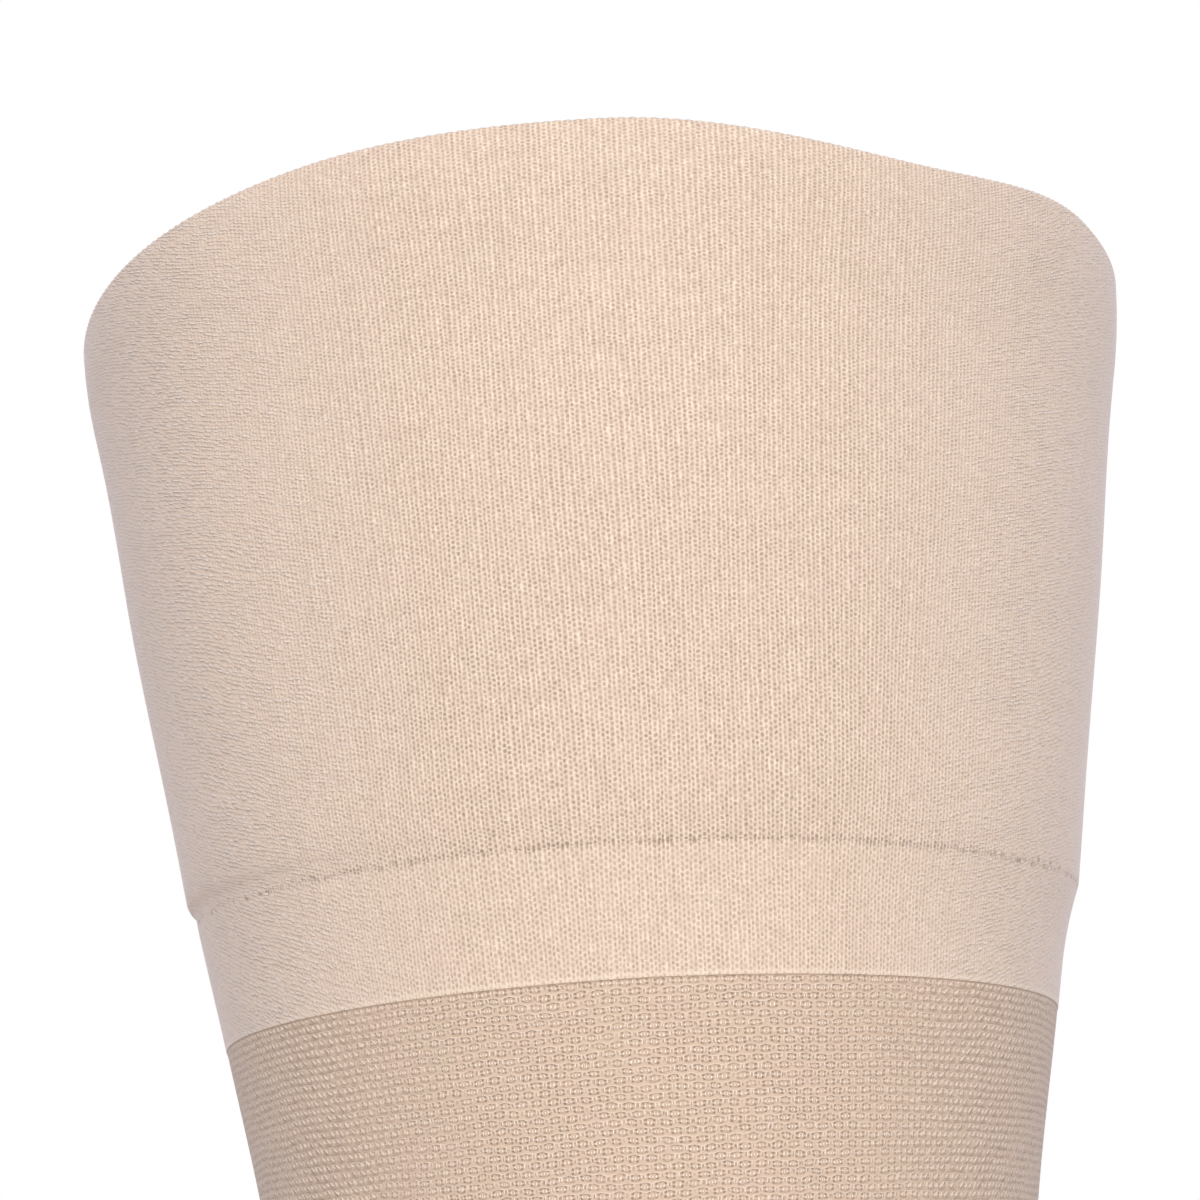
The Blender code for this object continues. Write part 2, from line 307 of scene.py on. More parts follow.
class Bench:
    # a material under work, with the few kinds of node that a knit needs
    def __init__(self, name, sheen):
        self.material = bpy.data.materials.new(name)
        self.material.use_nodes = True
        self.tree = self.material.node_tree
        self.shader = self.tree.nodes["Principled BSDF"]
        self.shader.inputs["Roughness"].default_value = gloss["roughness"]
        self.shader.inputs["Sheen Weight"].default_value = sheen
        self.shader.inputs["Sheen Roughness"].default_value = gloss["sheenRoughness"]
        self.shader.inputs["Sheen Tint"].default_value = (*gloss["sheenTint"], 1)
        self.shader.inputs["Specular IOR Level"].default_value = gloss["specular"]

    def node(self, kind, **settings):
        made = self.tree.nodes.new(kind)
        for key, value in settings.items():
            setattr(made, key, value)
        return made

    def feed(self, socket, value):
        if isinstance(value, Wire):
            self.tree.links.new(value.socket, socket)
        else:
            socket.default_value = value

    def reckon(self, operation, *values, clamp=False):
        maths = self.node("ShaderNodeMath", operation=operation, use_clamp=clamp)
        for socket, value in zip(maths.inputs, values):
            self.feed(socket, value)
        return Wire(self, maths.outputs[0])

    def clamp(self, value):
        return self.reckon("ADD", value, 0.0, clamp=True)

    def floor(self, value):
        return self.reckon("FLOOR", value)

    def size(self, value):
        return self.reckon("ABSOLUTE", value)

    def spot(self, x, y, halfX, halfY):
        # 1 in the middle of an oval, 0 at its edge and past it
        acrossX, acrossY = x / halfX, y / halfY
        return self.clamp(1.0 - acrossX * acrossX - acrossY * acrossY)

    def ridge(self, distance, half):
        # 1 on a line, 0 from `half` away
        return self.clamp(1.0 - self.size(distance) / half)

    def stitches(self):
        parts = self.node("ShaderNodeSeparateXYZ")
        self.tree.links.new(self.node("ShaderNodeUVMap", uv_map="stitches").outputs[0], parts.inputs[0])
        return Wire(self, parts.outputs[0]), Wire(self, parts.outputs[1])

    def joined(self, x, y, z=0.0):
        vector = self.node("ShaderNodeCombineXYZ")
        for socket, value in zip(vector.inputs, (x, y, z)):
            self.feed(socket, value)
        return Wire(self, vector.outputs[0])

    def chance(self, x, y, seed=0.0):
        # one even random number for each whole (x, y)
        dice = self.node("ShaderNodeTexWhiteNoise", noise_dimensions="3D")
        self.feed(dice.inputs["Vector"], self.joined(x, y, seed))
        return Wire(self, dice.outputs["Value"])

    def cloud(self, vector, scale=1.0, detail=1.0):
        noise = self.node("ShaderNodeTexNoise", noise_dimensions="3D")
        self.feed(noise.inputs["Vector"], vector)
        noise.inputs["Scale"].default_value = scale
        noise.inputs["Detail"].default_value = detail
        return Wire(self, noise.outputs[0])

    def place(self):
        return Wire(self, self.node("ShaderNodeTexCoord").outputs["Object"])

    def blend(self, factor, first, second):
        mix = self.node("ShaderNodeMix", data_type="RGBA")
        sockets = mix.inputs[0], mix.inputs[6], mix.inputs[7]  # its factor and its two colours
        for socket, value in zip(sockets, (factor, first, second)):
            self.feed(socket, value)
        return Wire(self, mix.outputs[2])

    def finish(self, colour, height, depth):
        self.feed(self.shader.inputs["Base Color"], colour)
        bump = self.node("ShaderNodeBump")
        bump.inputs["Strength"].default_value = 1.0
        bump.inputs["Distance"].default_value = depth
        self.feed(bump.inputs["Height"], height)
        self.tree.links.new(bump.outputs[0], self.shader.inputs["Normal"])
        return self.material


band = dict(around=2 * leg["wales"], innerRows=10, foldRows=8, outerRows=28, hemRows=7, rib=0.05 * mm,
            scallop=0.08 * mm, hem=2.2 * mm, hemLead=1.7 * mm, hemDrop=1.05 * mm, ease=0.35 * mm,
            slope=12 * mm, slopeDrop=0.80 * mm, easeFrom=45 * mm, topCourse=0.55 * mm, lowCourse=0.75 * mm)


def eased(share):
    # from 0 to 1 with soft ends
    share = np.clip(share, 0, 1)
    return (3 - 2 * share) * share**2


def fullHem(turn):
    # 1 at the inner side of the thigh, where the hem isn't drawn in, 0 from the front round the outer side
    return np.clip(np.cos(turn), 0, 1) ** 2


def bandThickness(reach, turn=math.pi):
    # the hem is drawn in with a short step at the outer side and with a long slope at the front and back
    t = np.clip((reach - leg["foldWall"] / 2) / leg["foldFade"], 0, 1)
    full = leg["foldWall"] + (leg["bandWall"] - leg["foldWall"]) * (2 - t) * t
    end = reachOf["linkingRow"]
    outerSide = np.clip(-np.cos(turn), 0, 1) ** 3
    thinned = band["ease"] * eased((reach - band["easeFrom"]) / (end - band["easeFrom"]))
    step = band["hemDrop"] * eased((reach - end + band["hem"] + band["hemLead"]) / band["hem"])
    slope = band["slopeDrop"] * np.clip((reach - end + band["slope"]) / band["slope"], 0, 1) ** 2
    return full - (thinned + step * outerSide + slope * (1 - outerSide)) * (1 - fullHem(turn))


def bandProfile():
    # reach and out up the inner face, over the fold, down the outer face and in along the hem, and how
    # far the edge loops rise there
    radius = leg["foldWall"] / 2
    end = reachOf["linkingRow"]
    inner = np.linspace(end, radius, band["innerRows"])
    angles = np.linspace(0, math.pi, band["foldRows"] + 1)[1:-1]
    hemTop = end - band["hem"] - band["hemLead"]
    outer = np.linspace(radius, hemTop, band["outerRows"])
    outer = np.concatenate([outer, np.linspace(hemTop, end, band["hemRows"] + 1)[1:]])
    reach = np.concatenate([inner, radius - radius * np.sin(angles), outer, [end]])
    out = np.concatenate([0 * inner, radius - radius * np.cos(angles), bandThickness(outer), [0]])
    scallop = np.concatenate([0 * inner, band["scallop"] * np.sin(angles), 0 * outer, [0]])
    return reach, out, scallop


def courseHeight(reach):
    # the cloth is pulled longer towards the bottom of the band
    share = np.clip(reach / reachOf["linkingRow"], 0, 1)
    return band["topCourse"] + (band["lowCourse"] - band["topCourse"]) * share**1.3


bandReach, bandOut, bandScallop = bandProfile()
foldTop = np.argmin(bandReach)
profileSteps = np.hypot(np.diff(bandReach), np.diff(bandOut))
profileSteps /= courseHeight((bandReach[1:] + bandReach[:-1]) / 2)
bandCourses = np.concatenate([[0], np.cumsum(profileSteps)])
bandCourses -= bandCourses[foldTop]  # counted down the outer face from the top of the fold
strip = dict(rows=14, course=0.79 * mm, wall=leg["wall"], fade=12 * mm, tuck=0.3 * mm,
             sink=0.04 * mm)
strip["courses"] = (reachOf["legTop"] - reachOf["linkingRow"]) / strip["course"]
seamCourse = bandCourses[-2]  # at the linking row

knitSides = leg["wales"] / 2  # wales from the back to the front
hueClouds = 130.0  # in a metre
fineYarn = dict(rib=(0.758, 0.590, 0.476), groove=(0.592, 0.440, 0.340), gap=(0.390, 0.278, 0.196),
                threadHighlight=(0.890, 0.730, 0.595), rosy=(0.790, 0.590, 0.505), straw=(0.740, 0.635, 0.485),
                shade=(0.430, 0.322, 0.262), litStroke=(0.865, 0.735, 0.660), bump=0.11 * mm, sheen=0.50)


def fineKnit(name, yarn, seam=None, foot=None):
    # plain knit pulled wide: columns of small gaps in grooves between light ribs, every other column
    # narrower and half a course off; seam and foot are the courses of the linking row and the last one,
    # u counts wales and v counts courses, and sizes are shares of a wale and a course
    bench = Bench(name, yarn["sheen"])
    u, v = bench.stitches()
    jostle = bench.cloud(bench.joined(u / 1.7, v / 28.0, 11.0), 1.0, 0.0) - 0.5
    waver = bench.cloud(bench.joined(u / 0.9, v / 1.6, 19.0), 1.0, 0.0) - 0.5
    bend = bench.cloud(bench.joined(u / 30.0, v / 18.0, 7.0), 1.0, 1.0) - 0.5
    plain = u
    u = u + jostle * 0.50 + waver * 0.30
    level = v + bend * 2.0
    wale = bench.floor(u)
    odd = bench.reckon("MODULO", bench.size(wale), 2.0)
    lifted = level + odd * 0.5 + (bench.cloud(bench.joined(u / 1.3, v / 6.0, 3.0), 1.0, 0.0) - 0.5) * 0.7
    course = bench.floor(lifted)
    down = lifted - course - 0.5
    luck = bench.chance(wale, course)
    across = u - wale - 0.5 + (bench.chance(wale, course, 3.0) - 0.5) * 0.18

    # the gaps, the grooves that they lie in, the yarn that crosses between them, and painted glints on the
    # ribs
    clear = bench.clamp(bench.cloud(bench.joined(u / 3.5, v / 5.0, 21.0), 1.0, 1.0) * 2.2 - 0.45)
    gap = bench.clamp(bench.spot(across, down, 0.43 - odd * 0.08, 0.37 + odd * 0.03) * 1.3)
    gap = gap * (0.42 + 0.58 * bench.chance(wale, course, 5.0)) * (0.76 + 0.24 * clear)
    groove = bench.clamp(bench.ridge(across, 0.43) * 1.5)
    below = bench.clamp(v / 140.0)
    width = 0.75 + 0.19 * below
    if seam is not None:
        width = width * (1.0 - 0.22 * bench.clamp(v - seam))
    gap = gap * width
    groove = groove * width
    bridge = bench.ridge(bench.size(down) - 0.5, 0.25) * bench.clamp(luck * 2.2 - 0.35 - odd * 0.35)
    sparks = bench.clamp(bench.chance(wale, bench.floor(level * 1.3), 13.0) * 2.4 - 1.2)
    glint = bench.ridge(bench.size(across) - 0.5, 0.30) * sparks

    # lengths of yarn that stand out along a course, painted lighter as a highlight, or sink in, with a
    # painted shadow
    row = bench.floor(level)
    runs = bench.cloud(bench.joined(u / 6.5, row * 3.7, 31.0), 1.0, 1.0)
    threadHighlight = bench.ridge(level - row - 0.5, 0.34) * bench.clamp(runs * 5.0 - 2.7)
    dipShadow = bench.ridge(bench.size(level - row - 0.5) - 0.5, 0.30) * bench.clamp(2.5 - runs * 5.0)

    # round the sides of the leg the grooves close up, and short slanting lengths of yarn show instead,
    # painted lighter as if lit from above, with a painted shadow under each
    flank = 0.5 - bench.reckon("COSINE", plain * (2 * math.pi / knitSides)) * 0.5
    toSide = bench.reckon("SINE", plain * (math.pi / knitSides))
    calm = bench.clamp(flank * 1.7 - 0.25 - 0.11 * toSide)
    edge = bench.clamp(flank * 2.5 - 1.5 + 0.14 * toSide)
    lean = 0.52 - 0.24 * below
    leaning = v * 1.20 + bench.size(plain - knitSides) * lean + bend * 3.5 + waver * 0.60
    line = bench.floor(leaning)
    seat = (plain + jostle * 1.2) / 2.3 + bench.chance(line, 1.0, 43.0) * 5.0
    stitch = bench.floor(seat)
    along = seat - stitch - 0.5
    part = leaning - line - 0.5 + (bench.chance(stitch, line, 45.0) - 0.5) * 0.52 + along * 0.16
    litStroke = bench.clamp(bench.spot(along, part, 0.52, 0.34) * 1.8)
    shine = 0.42 + 0.75 * bench.clamp(bench.chance(stitch, line, 44.0) * 2.6 - 1.15)
    litStroke = litStroke * shine * calm * (1.0 - edge * 0.65)
    # a painted shadow under each slanting length of yarn
    under = bench.clamp(bench.spot(along, part - 0.45, 0.55, 0.26) * 1.6)
    under = under * bench.clamp(bench.chance(stitch, line, 46.0) * 1.3 + 0.10) * calm * (1.0 - edge * 0.75)
    gap = gap * (1.0 - calm * 0.92)
    groove = groove * (1.0 - calm * 0.88)
    bridge = bridge * (1.0 - calm * 0.85)
    glint = glint * (1.0 - calm * 0.45)
    threadHighlight = threadHighlight * (1.0 - calm * 0.60)
    dipShadow = dipShadow * (1.0 - calm * 0.50)
    if seam is not None:
        # the courses that the linking pulls open, with painted shade along the linking row, and painted
        # shade on the fold's first course
        linked = bench.ridge(v - seam, 1.6)
        opened = bench.clamp(bench.chance(bench.floor(u / 1.5), 3.0, 9.0) * 2.6 - 1.25)
        stretched = bench.spot(across, (v - seam) + (luck - 0.5) * 0.8, 0.42, 0.85)
        gap = gap * (1.0 + linked * 0.3) + stretched * (0.20 + 1.10 * opened) * (1.0 - calm * 0.8)
        knots = (plain + jostle * 2.0) / 3.4
        knot = bench.floor(knots)
        aside = (bench.chance(knot, 5.0, 9.0) - 0.5) * 1.2
        speck = bench.spot(knots - knot - 0.5, v - seam + aside, 0.28, 0.80) * calm
        gap = gap + bench.clamp(speck * 1.6) * bench.clamp(bench.chance(knot, 7.0, 9.0) * 2.0 - 0.20)
        dipShadow = bench.clamp(dipShadow + linked * 0.34 + bench.ridge(v, 2.2) * 0.6)
    colour = bench.blend(groove * (0.66 + odd * 0.16), (*yarn["rib"], 1), (*yarn["groove"], 1))
    colour = bench.blend(bench.clamp(gap), colour, (*yarn["gap"], 1))
    # painted shade: in the sunk courses, under the slanting lengths of yarn, along the linking row and on
    # the fold's first course; the band is also darker towards its top
    shaded = bench.clamp(dipShadow * 0.16 + under * 0.62 + (1.0 - below) * 0.09)
    colour = bench.blend(shaded, colour, (*yarn["shade"], 1))
    # painted highlights on the threads and the glints, with the crossing yarn
    light = bench.clamp(bridge * 0.68 + threadHighlight * 0.22 + glint * 0.9)
    colour = bench.blend(light, colour, (*yarn["threadHighlight"], 1))
    colour = bench.blend(litStroke, colour, (*yarn["litStroke"], 1))
    # the strip's last course: its loops, with a painted highlight along the edge
    if foot is not None:
        colour = bench.blend(bench.ridge(v - foot + 0.5, 0.6) * 0.5, colour, (*yarn["threadHighlight"], 1))
    hue = bench.cloud(bench.place(), hueClouds, 2.0)
    colour = bench.blend(bench.clamp(hue * 4.0 - 2.0) * 0.17, colour, (*yarn["rosy"], 1))
    colour = bench.blend(bench.clamp(2.0 - hue * 4.0) * 0.08, colour, (*yarn["straw"], 1))
    height = 1.0 - gap * 0.6 - groove * 0.35 + bridge * 0.3 + threadHighlight * 0.45 - dipShadow * 0.25
    return bench.finish(colour, (height + litStroke * 1.2 - under * 0.6) * (1.0 - edge * 0.6), yarn["bump"])


cellSides = leg["cells"] / 2  # cells from the back to the front
# edge is the colour of a painted shadow line under the strip's edge
legYarn = dict(body=(0.652, 0.484, 0.370), light=(0.940, 0.768, 0.642), gap=(0.350, 0.234, 0.162),
               edge=(0.430, 0.305, 0.215), rosy=(0.690, 0.490, 0.395), straw=(0.620, 0.500, 0.360),
               bump=0.30 * mm, sheen=0.34)


def legKnit(name, yarn):
    # the compression knit: rows of small ovals laid like bricks, two or three bright loops in each, and
    # the laid-in yarn as a wavy line over every row; u counts cells and v counts rows, and sizes are
    # shares of a cell and a row
    bench = Bench(name, yarn["sheen"])
    plain, v = bench.stitches()
    wander = bench.cloud(bench.joined(plain / 8.0, v / 12.0), 1.0, 2.0) - 0.5
    jostle = bench.cloud(bench.joined(plain / 0.9, v / 1.3, 11.0), 1.0, 0.0) - 0.5
    sway = bench.cloud(bench.joined(plain / 6.0, v / 9.0, 5.0), 1.0, 2.0) - 0.5
    u = plain + wander * 0.6 + jostle * 0.22
    level = v + sway * 0.8 + jostle * 0.30
    row = bench.floor(level)
    brick = u + bench.reckon("MODULO", bench.size(row), 2.0) * 0.5
    cell = bench.floor(brick)

    def luck(seed):
        return bench.chance(cell, row, seed)

    across = (brick - cell - 0.5 + (luck(2.0) - 0.5) * 0.10) * (0.90 + 0.20 * luck(5.0))
    down = level - row - 0.53 + (luck(4.0) - 0.5) * 0.10 + across * (luck(3.0) - 0.5) * 0.30
    side = bench.size(across)

    # the oval's rim, frayed and open at both ends, with dark dots at its corners and its crown
    ovalX, ovalY = across / 0.335, down / 0.375
    oval = ovalX * ovalX + ovalY * ovalY
    frayed = bench.clamp(bench.cloud(bench.joined(u * 3.4, v * 1.9, 17.0), 1.0, 1.0) * 3.2 - 0.75)
    rim = bench.ridge(oval - 1.0, 0.42) * bench.clamp(bench.size(down) * 4.5 - 0.15) * frayed
    corners = bench.spot(side - 0.235, bench.size(down) - 0.23, 0.078, 0.16) * (0.40 + 0.90 * luck(1.0))
    crown = bench.spot(across + (luck(15.0) - 0.5) * 0.10, down + 0.33, 0.070, 0.13) * luck(16.0)
    inside = bench.clamp((1.0 - oval) * 1.5)

    # two or three bright loops inside it
    three = bench.clamp(luck(12.0) * 6.0 - 3.6)
    halves = bench.floor(brick * 2.0) + row * 7.0
    loops = bench.spot(side - 0.105 - three * 0.075, down - 0.02, 0.066, 0.22)
    loops = loops * (0.55 + 1.1 * bench.chance(cell, halves, 6.0))
    loops = loops + bench.spot(across, down - 0.02, 0.058, 0.20) * three * 1.2

    # between two ovals a dark dash with a bright spot on each side, and over them the laid-in yarn
    between = 0.5 - side
    bars = bench.spot(between - 0.105, down + 0.06, 0.060, 0.30)
    bars = bars * (0.10 + 1.2 * bench.chance(cell, halves, 8.0))
    dash = bench.spot(between + (luck(17.0) - 0.5) * 0.04, down + 0.02, 0.062, 0.27) * (0.15 + luck(9.0))
    wave = bench.reckon("COSINE", across * (2 * math.pi)) * 0.085
    arch = bench.ridge(down + 0.415 + wave, 0.105) * (0.30 + 0.80 * luck(7.0))
    arch = arch * bench.clamp(0.45 + side * 2.4)

    # round the sides of the leg the ovals close up, and slanting lengths of the loops show instead, painted
    # bright as if lit from the front, each with its painted shadow on the far side; they slant the other
    # way on the other side
    flank = 0.5 - bench.reckon("COSINE", plain * (2 * math.pi / cellSides)) * 0.5
    hooked = bench.clamp(flank * 2.6 - 0.30)
    edge = bench.clamp(flank * 2.5 - 1.5)
    toSide = bench.reckon("SINE", plain * (math.pi / cellSides))
    slanted = across - toSide * down * 0.55
    tall = bench.spot(slanted, down + 0.10, 0.120, 0.36) * (0.20 + 1.40 * luck(21.0))
    shifted = brick + 0.5
    nextCell = bench.floor(shifted)
    short = shifted - nextCell - 0.5 - toSide * down * 0.55
    short = bench.spot(short, down + 0.06, 0.105, 0.30) * (1.35 * bench.chance(nextCell, row, 22.0))
    # painted highlights on the slanting loops, lit from the front
    litHooks = bench.clamp((tall + short) * 2.3) * hooked * (1.0 - edge * 0.55)
    shadow = bench.clamp(bench.spot(slanted + toSide * 0.20, down - 0.10, 0.115, 0.34) * 1.7)
    shadow = shadow * (0.30 + luck(23.0))
    # painted shade lines between the rows
    line = bench.ridge(bench.size(down) - 0.5, 0.15) * bench.clamp(luck(24.0) * 1.8 - 0.20)
    dark = bench.clamp(corners * 0.92 + rim * 0.58 + crown * 0.62 + dash * 0.80 + inside * 0.12)
    # painted shade at the sides: the shadows, the lines between rows and an even darkening of the sides
    shaded = (shadow * 0.66 + line * 0.62 + 0.10) * hooked * (1.0 - edge * 0.25)
    dark = dark * (1.0 - hooked * 0.55) + shaded
    light = bench.clamp(bench.clamp(loops * 1.5) + bench.clamp(bars * 1.4) * 0.85) * (1.0 - hooked * 0.85)
    light = bench.clamp(light + arch * (1.0 - hooked * 0.45) + litHooks)
    colour = bench.blend(bench.clamp(dark), (*yarn["body"], 1), (*yarn["gap"], 1))
    colour = bench.blend(light, colour, (*yarn["light"], 1))
    hue = bench.cloud(bench.place(), hueClouds, 2.0)
    colour = bench.blend(bench.clamp(hue * 4.0 - 2.0) * 0.25, colour, (*yarn["rosy"], 1))
    colour = bench.blend(bench.clamp(2.0 - hue * 4.0) * 0.16, colour, (*yarn["straw"], 1))
    # a painted shadow line under the strip's edge, along the leg's first row
    colour = bench.blend(bench.clamp(bench.ridge(v, 0.32) * 2.0) * 0.65, colour, (*yarn["edge"], 1))
    swell = bench.spot(across + (luck(14.0) - 0.5) * 0.25, down + 0.05, 0.52, 0.56)
    height = 0.5 + swell * (0.20 + hooked * 0.25) + light * 0.35 - dark * 0.35
    return bench.finish(colour, height, yarn["bump"])


sewingYarn = dict(sheen=0.9, speckles=4000.0, dark=0.72, bump=0.03 * mm)  # speckles in a metre


def plainYarn(name, colour):
    # single yarns that stand on the cloth, with the twist showing as fine mottling
    bench = Bench(name, sewingYarn["sheen"])
    speckle = bench.cloud(bench.place(), sewingYarn["speckles"], 2.0)
    dark = tuple(sewingYarn["dark"] * part for part in colour)
    mixed = bench.blend(bench.clamp(speckle * 2.0 - 0.5), (*dark, 1), (*colour, 1))
    return bench.finish(mixed, speckle, sewingYarn["bump"])


fineFinish = fineKnit("fineKnit", fineYarn, seamCourse, seamCourse + strip["courses"])
legFinish = legKnit("legKnit", legYarn)
heelYarn = dict(fineYarn, rib=(0.740, 0.590, 0.460), groove=(0.630, 0.490, 0.375),
                gap=(0.460, 0.345, 0.255))
heelFinish = fineKnit("heelKnit", heelYarn)
print("materials made")


def turnAt(across):
    # a full turn, from the middle of the back
    return (across * 2 - 0.5) * math.pi


def makeBand():
    last = len(bandReach) - 1
    firstOuter = band["innerRows"] + band["foldRows"] - 1

    def place(across, down):
        row = np.rint(down * last).astype(int)
        column = np.rint(across * band["around"])
        ribbed = (row >= band["innerRows"]) & (row < last)
        rib = band["rib"] * ribbed * np.cos(math.pi * column)
        reach = bandReach[row] - bandScallop[row] * np.cos(math.pi / 2 * column)
        turn = turnAt(across)
        outer = (row >= firstOuter) & (row < last)
        out = np.where(outer, bandThickness(bandReach[row], turn), bandOut[row])
        return clothPoints(reach, swayed(bandReach[row], turn), out + rib)

    def stitches(across, down):
        return across * leg["wales"], bandCourses[np.rint(down * last).astype(int)]

    return rollCloth("bandCloth", [(band["around"], last, place, stitches)])


bandCloth = makeBand()
dress(bandCloth, fineFinish, "fine_knit", "top_band")
print("band knitted")


def makeStrip():
    # the single layer below the linking row; its top edge is tucked under the band's hem
    top, low = reachOf["linkingRow"] - strip["tuck"], reachOf["legTop"]

    def place(across, down):
        reach = top + (low - top) * down
        rib = band["rib"] * np.cos(math.pi * np.rint(across * band["around"]))
        lift = np.maximum(bandThickness(reachOf["linkingRow"], turnAt(across)) - strip["wall"], 0)
        lift = lift * np.clip(1 - (reach - top) / strip["fade"], 0, 1) ** 2
        sunk = strip["sink"] * (down == 0)
        return clothPoints(reach, swayed(reach, turnAt(across)), rib + lift - sunk)

    def stitches(across, down):
        return across * leg["wales"], seamCourse + strip["courses"] * down

    return rollCloth("stripCloth", [(band["around"], strip["rows"], place, stitches)], wall=strip["wall"])


stripCloth = makeStrip()
dress(stripCloth, fineFinish, "fine_knit", "plain_strip")
print("strip knitted")


def tubePatch(around, down, first, last, countAcross, countDown, turns=(0.0, 1.0)):
    # a patch between two reaches; turns are the shares of the full turn where it starts and ends
    def turned(across):
        return turnAt(turns[0] + (turns[1] - turns[0]) * across)

    def place(across, share):
        return clothPoints(first + (last - first) * share, turned(across))

    def stitches(across, share):
        reach = first + (last - first) * share
        turn = turned(across)
        return fromTable(ringShares, reach, turn) * countAcross, countDown(reach, turn)

    return around, down, place, stitches


# the compression leg and foot, in the coarse knit
coarse = dict(around=192, legRows=150, insteps=16, footRows=44, row=1.19 * mm)


def rowsDown(reach, turn):
    start = fromTable(downLengths, np.full_like(reach, reachOf["legTop"]), turn)
    return (fromTable(downLengths, reach, turn) - start) / coarse["row"]


def footRows(reach, turn):
    # the sole's rows begin where the heel ends, level with the rows at the sides
    under = np.sin(turn) < -1e-6  # the sides themselves are still the instep's
    side = np.where(np.cos(turn) > 0, 0.0, math.pi)
    archReach = np.full_like(reach, reachOf["arch"])
    fromArch = fromTable(downLengths, reach, turn) - fromTable(downLengths, archReach, turn)
    sole = rowsDown(archReach, side) + fromArch / coarse["row"]
    return np.where(under, sole, rowsDown(reach, turn))


legCloth = rollCloth("legCloth", [tubePatch(
    coarse["around"], coarse["legRows"], reachOf["legTop"], reachOf["heelTop"],
    leg["cells"], rowsDown)], wall=leg["wall"])
dress(legCloth, legFinish, "leg_knit", "leg")

half = coarse["around"] // 2
footCloth = rollCloth("footCloth", [
    tubePatch(half, coarse["insteps"], reachOf["heelTop"], reachOf["arch"],
              leg["cells"], footRows, turns=(0.25, 0.75)),
    tubePatch(coarse["around"], coarse["footRows"], reachOf["arch"], reachOf["toes"],
              leg["cells"], footRows),
], wall=leg["wall"])
dress(footCloth, legFinish, "leg_knit", "foot")
print("leg and foot knitted")


# heel pouch and toe cap, in plain knit
plainKnit = dict(heelRows=24, toeRows=14, course=0.75 * mm, wale=0.55 * mm)


def plainCourses(reach, turn):
    return fromTable(downLengths, reach, turn) / plainKnit["course"]


heelHalves = [
    tubePatch(half // 2, plainKnit["heelRows"], reachOf["heelTop"], reachOf["arch"],
              leg["wales"], plainCourses, turns=ends)
    for ends in ((0.0, 0.25), (0.75, 1.0))
]
heelCloth = rollCloth("heelCloth", heelHalves, wall=leg["wall"])
dress(heelCloth, heelFinish, "heel_knit", "heel")


def makeToe():
    def reachAt(share):
        return reaches[-1] + leg["toeReach"] * np.sin(share * math.pi / 2)

    def place(across, share):
        return clothPoints(reachAt(share), turnAt(across))

    def stitches(across, share):
        points = clothPoints(reachAt(share), turnAt(across))
        return points[:, 0] / plainKnit["wale"], plainCourses(reachAt(share), turnAt(across))

    patch = (coarse["around"], plainKnit["toeRows"], place, stitches)
    return rollCloth("toeCloth", [patch], wall=leg["wall"])


toeCloth = makeToe()
dress(toeCloth, heelFinish, "heel_knit", "toe")
print("heel and toe knitted")


def stitchMatrix(reach, turn, out, size, spin=0.0):
    # places a stitch that stands on the cloth: sizes go round the leg, down it and out of it
    reach, turn = np.array([reach]), np.array([turn])
    around, along, outward = (Vector(axis[0]) for axis in skinAxes(reach, turn))
    spot = Vector(clothPoints(reach, turn, out)[0])
    turned = Matrix((around, along, outward)).transposed().to_4x4() @ Matrix.Rotation(spin, 4, "Z")
    return Matrix.Translation(spot) @ turned @ Matrix.Diagonal((*size, 1))


def loopMesh(sides, steps, thick):
    # one open yarn loop, 1 wide and 1 tall before it is sized
    bm = bmesh.new()
    bmesh.ops.create_circle(bm, segments=sides, radius=thick, cap_ends=False,
                            matrix=Matrix.Translation((0.5, 0, 0)) @ Matrix.Rotation(math.pi / 2, 4, "X"))
    bmesh.ops.spin(bm, geom=bm.verts[:] + bm.edges[:], axis=(0, 0, 1), cent=(0, 0, 0), angle=2 * math.pi,
                   steps=steps, use_merge=True)
    bmesh.ops.recalc_face_normals(bm, faces=bm.faces)
    mesh = bpy.data.meshes.new("loop")
    bm.to_mesh(mesh)
    bm.free()
    return mesh


def sewRow(name, template, matrices):
    bm = bmesh.new()
    for matrix in matrices:
        copy = template.copy()
        copy.transform(matrix)
        bm.from_mesh(copy)
        bpy.data.meshes.remove(copy)
    return finishPiece(name, bm)


linking = dict(count=350, width=0.42 * mm, height=0.72 * mm, depth=0.26 * mm, sink=0.06 * mm,
               sides=5, steps=8, yarn=0.16, unevenStep=0.14, unevenReach=0.20 * mm, unevenSize=0.2,
               unevenTilt=0.35, colour=(0.63, 0.50, 0.41))
rng = np.random.default_rng(7)


def makeLinkingRow():
    loop = loopMesh(linking["sides"], linking["steps"], linking["yarn"])
    small, large = 1 - linking["unevenSize"], 1 + linking["unevenSize"]
    matrices = []
    for k in range(linking["count"]):
        turn = turnAt((k + 0.5 + rng.normal(0, linking["unevenStep"])) / linking["count"])
        reach = reachOf["linkingRow"] + rng.normal(0, linking["unevenReach"])
        lift = bandThickness(reachOf["linkingRow"], turn) - linking["sink"]
        width = linking["width"] * rng.uniform(small, large)
        size = (width, linking["height"] * rng.uniform(small, large), linking["depth"])
        matrices.append(stitchMatrix(reach, turn, lift, size, rng.normal(0, linking["unevenTilt"])))
    return sewRow("linkingRow", loop, matrices)


linkingYarn = plainYarn("linkingYarn", linking["colour"])
linkingRow = makeLinkingRow()
dress(linkingRow, linkingYarn, "fine_knit")
print("linking row sewn")


